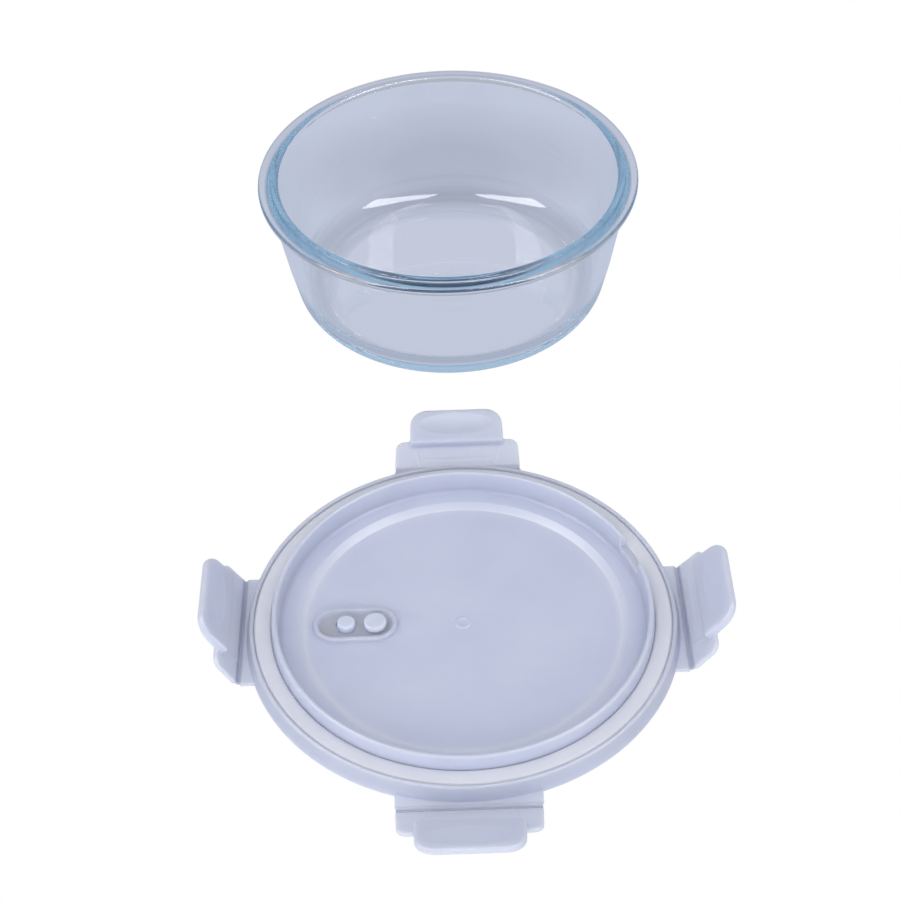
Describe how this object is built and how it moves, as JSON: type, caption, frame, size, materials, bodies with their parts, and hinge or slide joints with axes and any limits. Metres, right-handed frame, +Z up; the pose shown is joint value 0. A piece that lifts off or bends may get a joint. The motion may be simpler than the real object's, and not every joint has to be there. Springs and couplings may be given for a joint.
{
  "type": "glass storage container",
  "caption": "Round glass food container with a translucent snap lid, silicone seal, locking flaps and steam vent; lid shown off and turned over.",
  "frame": {"origin": "centre of the bowl's flat base, on the surface that it stands on", "axes": "+Z up along the bowl's axis; +Y from the lid towards the bowl; +X to the right seen from the lid's side"},
  "size_m": [0.1783, 0.3618, 0.057],
  "materials": {
    "glass": "clear polished borosilicate glass with a blue edge tint",
    "clear_plastic": "milky translucent polypropylene, satin",
    "silicone": "off-white silicone, soft satin"
  },
  "bodies": {
    "bowl": {"glass_bowl": "glass"},
    "lid": {"lid_shell": "clear_plastic", "gasket_ring": "silicone", "vent_anchor": "silicone", "hinge_web_front": "clear_plastic", "hinge_web_back": "clear_plastic", "hinge_web_left": "clear_plastic", "hinge_web_right": "clear_plastic"},
    "flap_front": {"latch_flap_front": "clear_plastic"},
    "flap_back": {"latch_flap_back": "clear_plastic"},
    "flap_left": {"latch_flap_left": "clear_plastic"},
    "flap_right": {"latch_flap_right": "clear_plastic"},
    "vent": {"vent_flap": "silicone"}
  },
  "joints": [
    {"name": "lid_turn", "type": "hinge", "parent": "bowl", "child": "lid", "pos_m": [0, -0.094, 0.032], "axis": [-1, 0, 0], "range_deg": [0, 180]},
    {"name": "flap_front_hinge", "type": "hinge", "parent": "lid", "child": "flap_front", "pos_m": [0, -0.2637, 0.0011], "axis": [-1, 0, 0], "range_deg": [-19.5, 70.5]},
    {"name": "flap_back_hinge", "type": "hinge", "parent": "lid", "child": "flap_back", "pos_m": [0, -0.1123, 0.0011], "axis": [1, 0, 0], "range_deg": [-18, 72]},
    {"name": "flap_left_hinge", "type": "hinge", "parent": "lid", "child": "flap_left", "pos_m": [-0.0757, -0.188, 0.0011], "axis": [0, 1, 0], "range_deg": [-60, 30]},
    {"name": "flap_right_hinge", "type": "hinge", "parent": "lid", "child": "flap_right", "pos_m": [0.0757, -0.188, 0.0011], "axis": [0, -1, 0], "range_deg": [-52, 38]},
    {"name": "vent_fold", "type": "hinge", "parent": "lid", "child": "vent", "pos_m": [-0.0336, -0.188, 0.0003], "axis": [0, -1, 0], "range_deg": [0, 70]}
  ]
}
